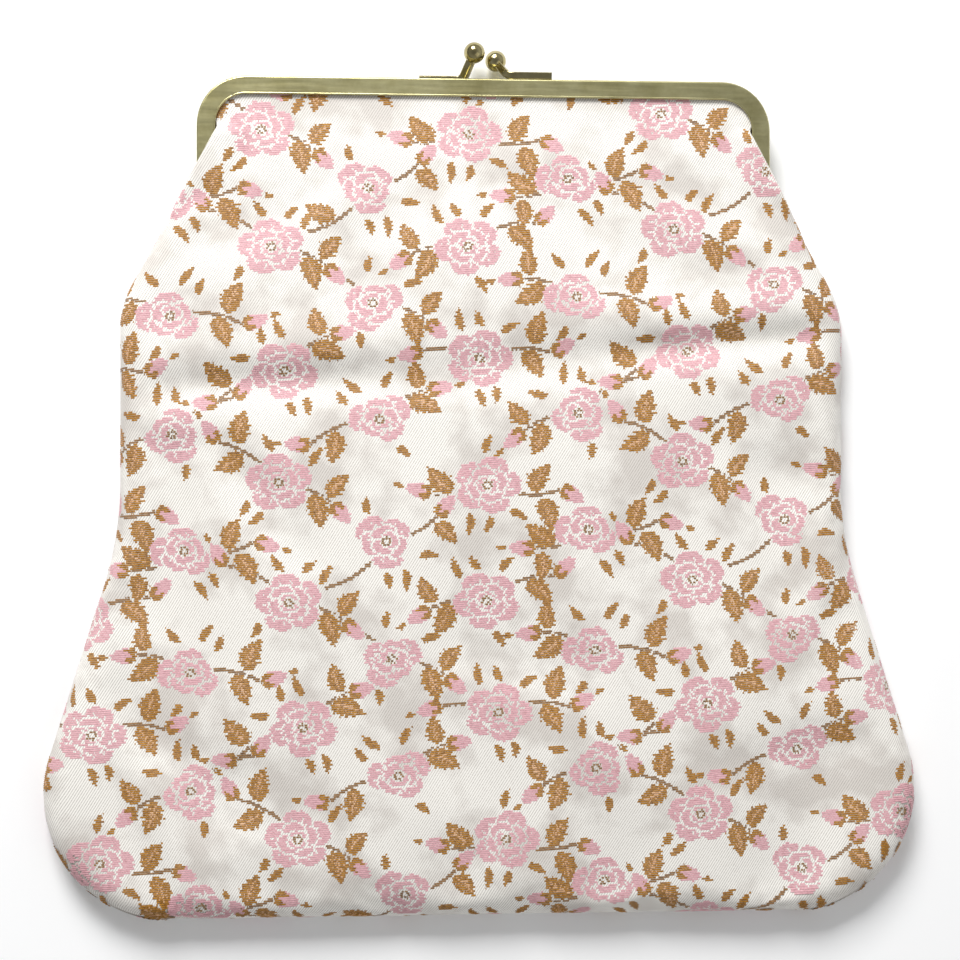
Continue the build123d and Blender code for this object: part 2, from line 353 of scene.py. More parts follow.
def settleCloth():
    # both walls sewn together as one bag, let go with a little slack and a little air
    rows = np.unique(np.linspace(0, len(rowDrops) - 1, settling["rows"]).astype(int))
    cols = np.unique(np.linspace(0, len(columns) - 1, settling["columns"]).astype(int))
    front, back = (walls[side][np.ix_(rows, cols)] for side in ("front", "back"))
    moved = letGo(*closedBag(front, back)).reshape(2, len(rows), len(cols), 3)
    most = np.array(settling["most"])
    for side, change in zip(("front", "back"), moved):
        if side == "back":
            change[:, 0] = change[:, -1] = change[-1] = 0
            change[..., 2] = np.maximum(change[..., 2], 0)
        print(side, "settled by up to", np.abs(change).max(axis=(0, 1)) / mm, "mm")
        even = softened(change[..., 2].copy(), settling["swellSoften"])
        change[..., 2] -= (1 - settling["swell"]) * even
        change = most * np.tanh(change / most)
        walls[side] = walls[side] + softened(spreadOut(change, rows, cols), settling["soften"])


settleCloth()
print("cloth settled")


def outward(side):
    # away from the inside of the bag: up on the front wall, down on the back
    normal = gridNormals(walls[side])
    up = np.sign(normal[len(rowDrops) // 2, len(columns) // 2, 2])
    return normal * up * (1 if side == "front" else -1)


normals = {side: outward(side) for side in walls}


def drape(side, x, drop, lift):
    # places points of the flat cloth on the finished wall, lifted off its outer face
    row = np.interp(drop, rowDrops, np.arange(len(rowDrops)))
    share = np.clip(x / np.interp(drop, rowDrops, rowHalves), -1, 1)
    column = np.interp(share, columns, np.arange(len(columns)))
    i = np.clip(row.astype(int), 0, len(rowDrops) - 2)
    j = np.clip(column.astype(int), 0, len(columns) - 2)
    a, b = (row - i)[..., None], (column - j)[..., None]
    found = []
    for grid in (walls[side], normals[side]):
        upper = grid[i, j] * (1 - b) + grid[i, j + 1] * b
        lower = grid[i + 1, j] * (1 - b) + grid[i + 1, j + 1] * b
        found.append(upper * (1 - a) + lower * a)
    return found[0] + found[1] * np.asarray(lift)[..., None]


def meshPiece(name, points, faces, material, isSmooth=True):
    mesh = bpy.data.meshes.new(name)
    mesh.from_pydata(np.asarray(points).reshape(-1, 3).tolist(), [], faces)
    mesh.validate()
    mesh.materials.append(material)
    if isSmooth:
        mesh.shade_smooth()
    else:
        mesh.shade_flat()
    piece = bpy.data.objects.new(name, mesh)
    bpy.context.scene.collection.objects.link(piece)
    return piece


def gridFaces(rows, cols, first, flip):
    faces = []
    for i in range(rows - 1):
        for j in range(cols - 1):
            a = first + i * cols + j
            quad = (a, a + 1, a + cols + 1, a + cols)
            faces.append(quad[::-1] if flip else quad)
    return faces


def shellPiece(name, outerFace, innerFace, material, flip):
    # a closed sheet from its two faces, with a rim all round
    rows, cols = outerFace.shape[:2]
    count = rows * cols
    faces = gridFaces(rows, cols, 0, flip) + gridFaces(rows, cols, count, not flip)
    ring = list(range(cols))
    ring += [i * cols + cols - 1 for i in range(1, rows)]
    ring += [(rows - 1) * cols + j for j in range(cols - 2, -1, -1)]
    ring += [i * cols for i in range(rows - 2, 0, -1)]
    for a, b in zip(ring, ring[1:] + ring[:1]):
        quad = (b, a, a + count, b + count)
        faces.append(quad[::-1] if flip else quad)
    points = np.concatenate([outerFace.reshape(-1, 3), innerFace.reshape(-1, 3)])
    return meshPiece(name, points, faces, material)


mapSize = 260  # millimetres of flat cloth across the whole map


def clothMap(piece, flat):
    # the flat cloth's own coordinates, so that weave and twill bend with it
    layer = piece.data.uv_layers.new(name="cloth")
    corner = np.zeros(len(piece.data.loops), int)
    piece.data.loops.foreach_get("vertex_index", corner)
    layer.data.foreach_set("uv", (flat[corner] / (mapSize * mm) + 0.5).astype(np.float32).ravel())


def nodeSet(name):
    material = bpy.data.materials.new(name)
    material.use_nodes = True
    tree = material.node_tree
    return material, tree, tree.nodes["Principled BSDF"]


def addNode(tree, kind, **settings):
    node = tree.nodes.new("ShaderNode" + kind)
    for key, value in settings.items():
        if key in node.inputs.keys():
            node.inputs[key].default_value = value
        else:
            setattr(node, key, value)
    return node


def noiseNode(tree, vector, scale, detail=3, roughness=0.6):
    node = addNode(tree, "TexNoise", Scale=scale, Detail=detail, Roughness=roughness)
    tree.links.new(vector, node.inputs["Vector"])
    return node.outputs["Fac"]


def rampNode(tree, factor, stops):
    node = addNode(tree, "ValToRGB")
    tree.links.new(factor, node.inputs["Fac"])
    elements = node.color_ramp.elements
    while len(elements) < len(stops):
        elements.new(0.5)
    for element, (place, colour) in zip(elements, stops):
        element.position = place
        element.color = (*colour, 1)
    return node.outputs["Color"]


def feed(tree, socket, value):
    # a socket takes a number, a colour or the output of another node
    if isinstance(value, (int, float)):
        socket.default_value = value
    elif isinstance(value, tuple):
        socket.default_value = (*value, 1)
    else:
        tree.links.new(value, socket)


def mathNode(tree, operation, *values):
    node = addNode(tree, "Math", operation=operation)
    for socket, value in zip(node.inputs, values):
        feed(tree, socket, value)
    return node.outputs["Value"]


def mixColour(tree, blend, factor, first, second):
    node = addNode(tree, "Mix", data_type="RGBA", blend_type=blend)
    for place, value in ((0, factor), (6, first), (7, second)):
        feed(tree, node.inputs[place], value)
    return node.outputs[2]


def bumpInto(tree, shader, height, distance, strength=1.0):
    node = addNode(tree, "Bump", Strength=strength, Distance=distance)
    tree.links.new(height, node.inputs["Height"])
    tree.links.new(node.outputs["Normal"], shader.inputs["Normal"])


def clothPlace(tree):
    # flat cloth coordinates in millimetres
    uv = addNode(tree, "UVMap", uv_map="cloth")
    scaled = addNode(tree, "VectorMath", operation="MULTIPLY")
    scaled.inputs[1].default_value = (mapSize, mapSize, 1)
    tree.links.new(uv.outputs["UV"], scaled.inputs[0])
    return scaled.outputs["Vector"]


def lineWave(tree, vector, angle, pitch, shift=0.0):
    # 0 to 1 and back across lines that lie at an angle, one each pitch
    dot = addNode(tree, "VectorMath", operation="DOT_PRODUCT")
    turn = math.radians(angle)
    step = 2 * math.pi / pitch
    dot.inputs[1].default_value = (math.sin(turn) * step, -math.cos(turn) * step, 0)
    tree.links.new(vector, dot.inputs[0])
    wave = mathNode(tree, "SINE", mathNode(tree, "ADD", dot.outputs["Value"], shift))
    return mathNode(tree, "MULTIPLY_ADD", wave, 0.5, 0.5)


satin = {
    "colour": (0.96, 0.93, 0.87),
    # painted shade: the grey the ground turns to in patches
    "shade": (0.72, 0.675, 0.625),
    "line": (0.36, 0.325, 0.29),
    "lineSharpness": 3.0,
    "lineStrength": 1.35,
    "twillAngle": 58,
    "twillPitch": 0.6,
    "patchScale": 0.05,  # patches of painted shade, and where on the noise they start and end
    "patchEdges": (0.38, 0.54),
    "breakScale": 2.4,  # breaks in the twill's lines
    "roughness": 0.38,
    "roughSpread": 0.25,
}

gloss = {"sheen": 0.12, "specular": 0.3}  # of the satin and its threads


def setGloss(shader, sheenRoughness):
    shader.inputs["Sheen Weight"].default_value = gloss["sheen"]
    shader.inputs["Sheen Roughness"].default_value = sheenRoughness
    shader.inputs["Specular IOR Level"].default_value = gloss["specular"]


def satinMaterial():
    material, tree, shader = nodeSet("ivory satin")
    place = clothPlace(tree)
    twill = lineWave(tree, place, satin["twillAngle"], satin["twillPitch"])
    broken = noiseNode(tree, place, satin["breakScale"], 2)
    # painted shade: noise patches where the ivory ground turns grey, standing in for the shade of folds and
    # of sheen turned from the light
    patch = noiseNode(tree, place, satin["patchScale"], 3)
    ground = rampNode(tree, patch, list(zip(satin["patchEdges"], (satin["shade"], satin["colour"]))))
    dark = mathNode(tree, "MULTIPLY", mathNode(tree, "POWER", twill, satin["lineSharpness"]), broken)
    strength = mathNode(tree, "MULTIPLY", dark, satin["lineStrength"])
    colour = mixColour(tree, "MIX", strength, ground, satin["line"])
    tree.links.new(colour, shader.inputs["Base Color"])
    rough = mathNode(tree, "MULTIPLY_ADD", broken, satin["roughSpread"], satin["roughness"])
    tree.links.new(rough, shader.inputs["Roughness"])
    setGloss(shader, 0.4)
    bumpInto(tree, shader, mathNode(tree, "SUBTRACT", 1.0, dark), 0.05 * mm, 0.8)
    return material


# the brocade: sprigs of rose, bud and leaves, one to each place of a half-drop repeat, in millimetres
brocade = {
    "pitch": (26.5, 31.0),  # from one sprig to the next, across and down
    "repeat": (4, 3),  # sprigs in one repeat of the cloth
    "woven": (256, 246),  # width and height of the cloth
    "reach": (5, 6),  # sprigs woven each way from the middle, across and down
    "roseTurn": 137.5,  # turn of a rose, added or taken from three times its sprig's turn
    "lean": 30,  # how far a sprig leans off the line across
    "stray": 2.0,  # how far a sprig stands off its place
    "grain": 3.0,  # degrees that the cloth lies turned on the purse
    "thread": 0.53,  # one weft thread
    "sample": 0.13,  # step along a thread
    "toothLong": 0.36,  # how far threads end short or long of a motif's edge
    "toothDeep": 0.12,  # the same across the threads, as a share of one
    "rose": (18.0, 15.6),
    "petalLine": 0.5,
    "leafLong": 10.2,
    "leafWide": 5.4,
    "leafletLong": 5.4,
    "leafletWide": 2.2,
    "budLong": 6.4,
    "stemWide": 0.95,
}

# each thread's light and dark colour, and how far its colour darkens towards the dark one at the groove
# between rows of weft: painted shade
threads = {
    "rose": {"light": (0.83, 0.49, 0.525), "dark": (0.60, 0.30, 0.33), "groove": 0.45},
    "leaf": {"light": (0.58, 0.275, 0.040), "dark": (0.21, 0.085, 0.012), "groove": 0.62},
    "vein": {"light": (0.85, 0.54, 0.32), "dark": (0.48, 0.24, 0.10), "groove": 0.5},
    "stem": {"light": (0.42, 0.235, 0.10), "dark": (0.16, 0.085, 0.038), "groove": 0.6},
}


def threadMaterial(kind):
    material, tree, shader = nodeSet(kind + " thread")
    place = clothPlace(tree)
    stretched = addNode(tree, "VectorMath", operation="MULTIPLY")
    stretched.inputs[1].default_value = (0.9, 1.9, 1)
    tree.links.new(place, stretched.inputs[0])
    streak = noiseNode(tree, stretched.outputs["Vector"], 1.1, 3)
    look = threads[kind]
    lit = rampNode(tree, streak, [(0.32, look["dark"]), (0.6, look["light"])])
    # painted shade: across each row of weft the colour darkens towards the dark one, standing in for the
    # shadow in the grooves between threads
    row = lineWave(tree, place, brocade["grain"], brocade["thread"], math.pi / 2)
    groove = mathNode(tree, "MULTIPLY_ADD", row, -look["groove"], look["groove"])
    colour = mixColour(tree, "MIX", groove, lit, look["dark"])
    tree.links.new(colour, shader.inputs["Base Color"])
    shader.inputs["Roughness"].default_value = 0.55
    setGloss(shader, 0.35)
    fibre = noiseNode(tree, stretched.outputs["Vector"], 6.0, 2)
    bumpInto(tree, shader, fibre, 0.05 * mm, 0.6)
    return material


def plainCloth(name, light, dark, pitch, roughness):
    # a plain weave: two crossed sets of lines
    material, tree, shader = nodeSet(name)
    place = clothPlace(tree)
    warp = lineWave(tree, place, 90, pitch)
    weft = lineWave(tree, place, 0, pitch)
    weave = mathNode(tree, "MULTIPLY", warp, weft)
    patch = noiseNode(tree, place, 0.09, 3)
    ground = rampNode(tree, patch, [(0.3, dark), (0.7, light)])
    colour = mixColour(tree, "MULTIPLY", mathNode(tree, "MULTIPLY", weave, 0.3), ground, dark)
    tree.links.new(colour, shader.inputs["Base Color"])
    shader.inputs["Roughness"].default_value = roughness
    shader.inputs["Sheen Weight"].default_value = 0.2
    bumpInto(tree, shader, weave, 0.06 * mm, 0.7)
    return material


brass = {
    "frame": {"light": (0.62, 0.58, 0.32), "dark": (0.42, 0.38, 0.18), "roughness": 0.22},
    # the clasp's brass is a darker copy of the frame's, painted shade standing in for the dark surroundings
    # its polished balls reflect
    "clasp": {"light": (0.52, 0.46, 0.26), "dark": (0.30, 0.25, 0.11), "roughness": 0.05},
    "roughSpread": 0.22,
    "tarnishScale": 70,
    "scratchScale": (60, 900, 900),  # scratches run along the frame
    "scratchTurn": 0.25,
}


def brassMaterial(kind):
    look = brass[kind]
    material, tree, shader = nodeSet(kind + " brass")
    place = addNode(tree, "TexCoord").outputs["Object"]
    tarnish = noiseNode(tree, place, brass["tarnishScale"], 5, 0.65)
    colour = rampNode(tree, tarnish, [(0.35, look["dark"]), (0.62, look["light"])])
    tree.links.new(colour, shader.inputs["Base Color"])
    shader.inputs["Metallic"].default_value = 1.0
    stretched = addNode(tree, "Mapping")
    stretched.inputs["Scale"].default_value = brass["scratchScale"]
    stretched.inputs["Rotation"].default_value = (0, 0, brass["scratchTurn"])
    tree.links.new(place, stretched.inputs["Vector"])
    scratch = noiseNode(tree, stretched.outputs["Vector"], 1.0, 4)
    wear = mathNode(tree, "MULTIPLY_ADD", scratch, brass["roughSpread"], look["roughness"])
    tree.links.new(wear, shader.inputs["Roughness"])
    bumpInto(tree, shader, scratch, 0.01 * mm, 0.5)
    return material


def paperMaterial():
    material, tree, shader = nodeSet("twisted paper")
    place = addNode(tree, "TexCoord").outputs["Object"]
    twist = noiseNode(tree, place, 900, 3)
    colour = rampNode(tree, twist, [(0.3, (0.40, 0.29, 0.17)), (0.7, (0.62, 0.5, 0.33))])
    tree.links.new(colour, shader.inputs["Base Color"])
    shader.inputs["Roughness"].default_value = 0.85
    bumpInto(tree, shader, twist, 0.1 * mm)
    return material


labels = {"rose": 1, "leaf": 2, "vein": 3, "stem": 4}


def turned(x, y, degrees):
    c, s = math.cos(math.radians(degrees)), math.sin(math.radians(degrees))
    return np.array([x * c - y * s, x * s + y * c])


def shareOf(part, whole):
    return np.count_nonzero(part & whole) / max(1, np.count_nonzero(whole))


# numbers for one petal, as shares of its half length (a, outwards) and half width (b)
petal = {
    "notch": (0.12, 0.22),  # depth and width of the dent in the outer edge
    "creased": 0.3,  # only petals longer than this have creases
    "crease": (0.36, 0.055),  # place to each side of the middle, and half width
}

heart = {
    "radius": 0.17,  # the white middle of the rose, as a share of its own radius
    "squeeze": 0.8,
    "dots": 7,
    "dotRing": 0.115,
    "dotRadius": 0.042,
}

# share of its place that may be taken already before a leaf or a bud is left out
crowding = {"leaf": 0.06, "bud": 0.05}


class Loom:
    # the cloth as rows of weft, each sampled along its length
    def __init__(self, width, height):
        turn = math.radians(brocade["grain"])
        self.cos, self.sin = math.cos(turn), math.sin(turn)
        self.s = np.arange(-width / 2, width / 2, brocade["sample"])
        self.t = np.arange(-height / 2, height / 2, brocade["thread"])
        self.cloth = np.zeros((len(self.t), len(self.s)), np.uint8)
        sign = np.where(np.arange(len(self.t)) % 2, 0.5, -0.5)
        self.rowTooth = (sign + rng.uniform(-0.6, 0.6, len(self.t))) * brocade["toothLong"]
        teeth = np.repeat(rng.uniform(-1, 1, len(self.s) // 4 + 1), 4)[:len(self.s)]
        self.columnTooth = teeth * brocade["thread"] * brocade["toothDeep"]

    def place(self, s, t):
        return s * self.cos - t * self.sin, s * self.sin + t * self.cos

    def window(self, centre, reach):
        # the part of the cloth around a point, or nothing where that lies outside it
        x, y = centre
        s, t = x * self.cos + y * self.sin, -x * self.sin + y * self.cos
        rows = slice(*np.searchsorted(self.t, (t - reach, t + reach)))
        cols = slice(*np.searchsorted(self.s, (s - reach, s + reach)))
        if rows.start == rows.stop or cols.start == cols.stop:
            return None
        rowTooth = self.rowTooth[rows][:, None]
        columnTooth = self.columnTooth[cols][None, :]
        gridX, gridY = self.place(self.s[cols][None, :] + rowTooth, self.t[rows][:, None] + columnTooth)
        odd = (np.arange(rows.start, rows.stop) % 2 == 1)[:, None]
        return self.cloth[rows, cols], gridX, gridY, odd

    def rose(self, centre, turn, petals):
        wide, high = brocade["rose"]
        radius = (wide + high) / 4
        found = self.window(centre, radius * 1.3)
        if found is None:
            return
        cloth, gridX, gridY, odd = found
        u, v = (gridX - centre[0]) / wide * 2, (gridY - centre[1]) / high * 2
        notchDeep, notchWide = petal["notch"]
        creasePlace, creaseHalf = petal["crease"]
        for angle, reach, halfLong, halfWide in petals:
            c, s = math.cos(math.radians(angle + turn)), math.sin(math.radians(angle + turn))
            a = ((u - reach * c) * c + (v - reach * s) * s) / halfLong
            b = (-(u - reach * c) * s + (v - reach * s) * c) / halfWide
            size = np.hypot(a, b) * (1 + notchDeep * np.exp(-((b / notchWide) ** 2)) * (a > 0))
            line = brocade["petalLine"] / radius / min(halfLong, halfWide)
            cloth[size < 1 + line] = 0
            cloth[size < 1] = labels["rose"]
            # every other thread is left out near the base, and two creases run outwards
            cloth[(size < 1) & odd & (a < -0.2) & (np.abs(b) < 0.3 - 0.5 * a)] = 0
            if halfLong > petal["creased"]:
                crease = np.abs(np.abs(b) - creasePlace - 0.1 * a) < creaseHalf
                cloth[crease & (a > -0.5) & (a < 0.4)] = 0
        squeeze = heart["squeeze"]
        cloth[np.hypot(u, v * squeeze) < heart["radius"]] = 0
        for k in range(heart["dots"]):
            x, y = turned(heart["dotRing"], 0, turn + 360 / heart["dots"] * k)
            cloth[np.hypot(u - x, (v - y) * squeeze) < heart["dotRadius"]] = labels["stem"]

    def leaf(self, start, end, width, teeth=5, veins=True):
        length = np.linalg.norm(end - start)
        found = self.window((start + end) / 2, length * 0.5 + width)
        if found is None:
            return
        cloth, gridX, gridY, _ = found
        ux, uy = (end - start) / length
        along = ((gridX - start[0]) * ux + (gridY - start[1]) * uy) / length
        t = np.clip(along, 0, 1)
        side = -(gridX - start[0]) * uy + (gridY - start[1]) * ux - 0.06 * length * np.sin(np.pi * t)
        saw = ((t * teeth) % 1 - 0.5) * (0.4 if veins else 0.1)
        half = width / 2 * np.sin(np.pi * t ** 0.72) ** 0.85 * (1 + saw)
        taken = (cloth > 0) & (cloth != labels["stem"])
        around = (np.abs(side) < half + 0.5) & (along > -0.05) & (along < 1.06)
        if shareOf(taken, around) > crowding["leaf"]:
            return
        cloth[(np.abs(side) < half + 0.45) & (along > 0.04) & (along < 1) & ~taken] = 0
        inside = (np.abs(side) < half) & (along > 0) & (along < 1) & ~taken
        cloth[inside] = labels["leaf"]
        if not veins:
            return
        rib = (np.abs(side) < 0.22) & (along > 0.12) & (along < 0.8)
        share = np.abs(side) / width
        ray = np.abs((along - share * 0.8) * teeth % 1 - 0.5) < 0.11
        branch = ray & (share < 0.25) & (along > 0.22) & (along < 0.74)
        cloth[inside & (rib | branch)] = labels["vein"]

    def stem(self, points):
        for a, b in zip(points, points[1:]):
            length = np.linalg.norm(b - a)
            found = self.window((a + b) / 2, length * 0.6 + 1)
            if found is None:
                continue
            cloth, gridX, gridY, _ = found
            run = ((gridX - a[0]) * (b - a)[0] + (gridY - a[1]) * (b - a)[1]) / length ** 2
            t = np.clip(run, 0, 1)
            far = np.hypot(gridX - a[0] - t * (b - a)[0], gridY - a[1] - t * (b - a)[1])
            cloth[(far < brocade["stemWide"] / 2) & (cloth == 0)] = labels["stem"]

    def bud(self, start, turn):
        # a closed drop of pink in a cup of sepals
        length = brocade["budLong"]
        way = turned(1, 0, turn)
        middle = start + way * length * 0.5
        found = self.window(middle, length)
        if found is None:
            return
        cloth, gridX, gridY, _ = found
        along = ((gridX - middle[0]) * way[0] + (gridY - middle[1]) * way[1]) / (length * 0.5)
        side = (-(gridX - middle[0]) * way[1] + (gridY - middle[1]) * way[0]) / (length * 0.31)
        drop = np.hypot(along, side * (1 + 0.3 * along))
        if shareOf(cloth == labels["rose"], drop < 1.1) > crowding["bud"]:
            return
        cloth[drop < 1.16] = 0
        cloth[drop < 1] = labels["rose"]
        cloth[(drop < 1.1) & (along + 0.35 * np.cos(side * 5) < -0.42)] = labels["leaf"]
        for lean in (-58, 58):
            self.leaf(start + way * 0.4, start + turned(length * 0.8, 0, turn + lean), 1.6, 1, False)
        self.leaf(start + way * length * 1.1, start + way * length * 1.55, 1.5, 1, False)


def petalRings(rings):
    # petals as angle, reach, length and width, from the outermost ring inwards
    petals = []
    for ring, (count, reach, long, wide) in enumerate(rings):
        for k in range(count):
            petals.append((360 / count * (k + ring / 2) + 14 * ring, reach, long, wide))
    return petals


def petalSpiral(count):
    petals = []
    for k in range(count):
        inward = 1 - k / count
        petals.append((137.5 * k, 0.08 + 0.54 * inward, 0.17 + 0.21 * inward, 0.24 + 0.24 * inward))
    return petals


roseKinds = [
    petalRings([(5, 0.58, 0.42, 0.43), (4, 0.30, 0.30, 0.32), (2, 0.12, 0.17, 0.24)]),
    petalSpiral(8),
]


def arcPoints(start, turn, bend, length, count=7):
    # a stem that turns steadily as it grows
    points, heading = [start], turn
    for k in range(count):
        points.append(points[-1] + turned(length / count, 0, heading))
        heading += bend / count
    return points, heading


# the green of one sprig: each stem's turn off the rose, its bend and its length,
# and its leaves as the joint they grow from, their lean and their size
stems = {
    "stem": {"grows": (0, -26, 46, 20), "leaves": ((4, 54, 0.95), (5, -76, 1.0), (7, 12, 0.9))},
    "twig": {"grows": (180, 22, -40, 15.5), "leaves": ((4, -48, 1.0), (6, 74, 0.85))},
}

leaflets = {"round": (62, 92, 238, 272, 304), "off": 1.06, "spread": 24}
budLean = -52  # of the bud on the stem, and the twig's own stands straight


def greenParts(centre, turn, hand, kind):
    # a leafy stem on one side of the rose, a twig with a bud on the other, and leaflets between them
    long, wide = brocade["leafLong"], brocade["leafWide"]
    runs, headings, leaves = [], [], []
    for stem in stems.values():
        way, lean, bend, length = stem["grows"]
        points, heading = arcPoints(centre, turn + way + lean * hand, bend * hand, length)
        for place, leafLean, size in stem["leaves"]:
            away = turned(long * size, 0, turn + way + leafLean * hand)
            leaves.append((points[place] + away * 0.1, points[place] + away, wide * size))
        runs.append(points)
        headings.append(heading)
    for k, lean in enumerate(leaflets["round"][kind:]):
        length = brocade["leafletLong"] * (0.85 + 0.15 * (k % 3))
        root = centre + turned(leaflets["off"], 0, turn + lean * hand) * brocade["rose"] * 0.5
        tip = root + turned(length, 0, turn + (lean + leaflets["spread"] * (-1) ** k) * hand)
        leaves.append((root, tip, brocade["leafletWide"], 3, False))
    buds = [(runs[0][-1], headings[0] + budLean * hand), (runs[1][-1], headings[1])]
    return runs, buds, leaves


def weaveCloth():
    loom = Loom(*brocade["woven"])
    wide, high = brocade["pitch"]
    across, down = brocade["repeat"]
    reachX, reachY = brocade["reach"]
    stray = rng.uniform(-1, 1, (across, down, 2)) * brocade["stray"]
    roses, greens = [], []
    for i in range(-reachX, reachX + 1):
        for j in range(-reachY, reachY + 1):
            n = (i % across) + across * (j % down)
            x, y = loom.place(i * wide, (j + 0.5 * (i % 2)) * high)
            centre = np.array([x, y]) + stray[i % across, j % down]
            turn = 180 * (n // 2 % 2) + brocade["grain"] + brocade["lean"] * math.sin(n * 2.4)
            hand = 1 if n * 5 % 7 < 4 else -1
            roses.append((centre, turn * 3 + brocade["roseTurn"] * hand, roseKinds[n % 2]))
            greens.append(greenParts(centre, turn, hand, n % 2))
    for runs, _, _ in greens:
        for points in runs:
            loom.stem(points)
    for rose in roses:
        loom.rose(*rose)
    for _, buds, _ in greens:
        for start, turn in buds:
            loom.bud(start, turn)
    for _, _, leaves in greens:
        for leaf in leaves:
            loom.leaf(*leaf)
    return loom


loom = weaveCloth()
print("brocade woven:", int((loom.cloth > 0).sum()), "samples of float")

turnedEdge = {"flat": 10.3 * mm, "spare": 2.8 * mm}  # cloth from the face round to the seam, and its excess

floats = {
    "width": 0.47 * mm,
    "crest": {"rose": 0.12 * mm, "leaf": 0.15 * mm, "vein": 0.21 * mm, "stem": 0.13 * mm},
    "ends": {"rose": 0.02 * mm, "leaf": 0.02 * mm, "vein": 0.15 * mm, "stem": 0.02 * mm},
    "sides": 0.02 * mm,  # height of a thread's sides above the cloth
    "longest": 1.7 * mm,  # step along a thread
    "shortStep": 0.6 * mm,
    "bend": 11 * mm,  # shorter steps this near to the turned edge
    "shortest": 0.25,  # in millimetres, and shorter runs are left out
    "edge": 0.5 * mm,  # kept free along the cloth's edge
}

# the threads stand a little higher round the foot corners, where the cloth turns two ways
footLift = {
    "most": 0.22 * mm,
    "fromEdge": (4 * mm, 8 * mm),
    "fromMiddle": (66 * mm, 76 * mm),
    "fromBottom": (38 * mm, 28 * mm),
}


def overEdge(position, edge, share):
    # where a point of the flat cloth lies, when its last stretch goes round the turned edge
    away = np.abs(position)
    left = edge + turnedEdge["spare"] - away
    angle = np.clip(left / turnedEdge["flat"], 0, 1) * math.pi / 2
    rolled = edge - bag["rollRadius"] * (1 - np.cos(angle))
    place = np.where(left < turnedEdge["flat"], rolled, away)
    return np.sign(position) * (away * (1 - share) + place * share)


def unrolled(position, edge, share):
    # the other way: where a point round the turned edge lies on the flat cloth
    away = np.abs(position)
    into = np.clip((edge - away) / bag["rollRadius"], 0, 1)
    rolled = edge + turnedEdge["spare"] - turnedEdge["flat"] * np.arccos(1 - into) / (math.pi / 2)
    place = np.where(into < 1, rolled, away)
    return np.sign(position) * (away * (1 - share) + place * share)


def layFlat(x, y):
    # from the flat cloth to the purse: first down the bag, then across it
    flatDrop = frameTop - y
    drop = overEdge(flatDrop, bagDrop, 1.0)
    share = sewnShare(drop)
    half = np.interp(drop, rowDrops, rowHalves)
    inside = np.abs(x) < half + turnedEdge["spare"] * share - floats["edge"]
    inside &= drop > rowDrops[0] + floats["edge"]
    inside &= flatDrop < bagDrop + turnedEdge["spare"] - floats["edge"]
    return overEdge(x, half, share), drop, inside


def cornerLift(x, drop):
    toSide = np.interp(drop, rowDrops, rowHalves) - np.abs(x)
    near = 1 - smooth(np.minimum(toSide, bagDrop - drop), *footLift["fromEdge"])
    low, high = (bagDrop - up for up in footLift["fromBottom"])
    return footLift["most"] * near * smooth(np.abs(x), *footLift["fromMiddle"]) * smooth(drop, low, high)


def runsInRow(r, kind):
    # where threads of one colour start and end in a row of weft
    inside = layFlat(*loom.place(loom.s * mm, loom.t[r] * mm))[2]
    shown = loom.cloth[r] == labels[kind]
    if kind == "leaf":
        shown |= loom.cloth[r] == labels["vein"]  # the leaf runs on beneath its veins
    row = (shown & inside).astype(np.int8)
    change = np.diff(np.concatenate([[0], row, [0]]))
    starts = loom.s[np.flatnonzero(change == 1)]
    ends = loom.s[np.flatnonzero(change == -1) - 1] + brocade["sample"]
    return [(start, end) for start, end in zip(starts, ends) if end - start >= floats["shortest"]]


def threadStrip(side, kind, r, start, end):
    # one thread as stations of three points: a low side, the crest and the other low side
    rowHalf = np.interp(frameTop - loom.t[r] * mm, rowDrops, rowHalves)
    nearEdge = rowHalf - abs((start + end) / 2 * mm) < floats["bend"]
    step = floats["shortStep"] if nearEdge else floats["longest"]
    count = max(3, int(math.ceil((end - start) * mm / step)) + 1)
    s = np.linspace(start, end, count)[:, None]
    t = loom.t[r] + np.array([[-0.5, 0, 0.5]]) * floats["width"] / mm
    flatX, flatY = loom.place(s * mm, np.broadcast_to(t, (count, 3)) * mm)
    x, drop, _ = layFlat(flatX, flatY)
    crest = np.full(count, floats["crest"][kind])
    crest[[0, -1]] = floats["ends"][kind]
    low = np.full(count, floats["sides"])
    lift = np.stack([low, crest, low], axis=1) + cornerLift(x, drop)
    mirrored = 1 if side == "front" else -1
    return drape(side, x * mirrored, drop, lift), np.stack([flatX, flatY], axis=2)


def floatPiece(side, kind, material):
    # each run of one colour in a row of weft is a short raised thread
    points, flat, faces = [], [], []
    for r in range(len(loom.t)):
        for start, end in runsInRow(r, kind):
            base = len(points) * 3
            placed, spread = threadStrip(side, kind, r, start, end)
            points.extend(placed)
            flat.extend(spread)
            for a in range(base, base + 3 * len(placed) - 3, 3):
                for m in (a, a + 1):
                    quad = (m, m + 3, m + 4, m + 1)
                    faces.append(quad if side == "front" else quad[::-1])
    piece = meshPiece(f"{kind}_threads_{side}", np.array(points), faces, material)
    clothMap(piece, np.array(flat).reshape(-1, 2))
    return piece


innerEdge = {
    "clear": 0.6 * mm,  # between the inner layers and the outer one, beside the legs
    "widens": (37 * mm, 50 * mm),  # the drops between which they widen to the seam
}


def innerHalf(drop, inset):
    # inner layers stay between the frame's legs, and widen to the seam below the hinge
    wide = np.interp(drop, rowDrops, rowHalves) - inset
    between = np.minimum(wide, bag["start"][0] - innerEdge["clear"])
    return between + (wide - between) * smooth(drop, *innerEdge["widens"])


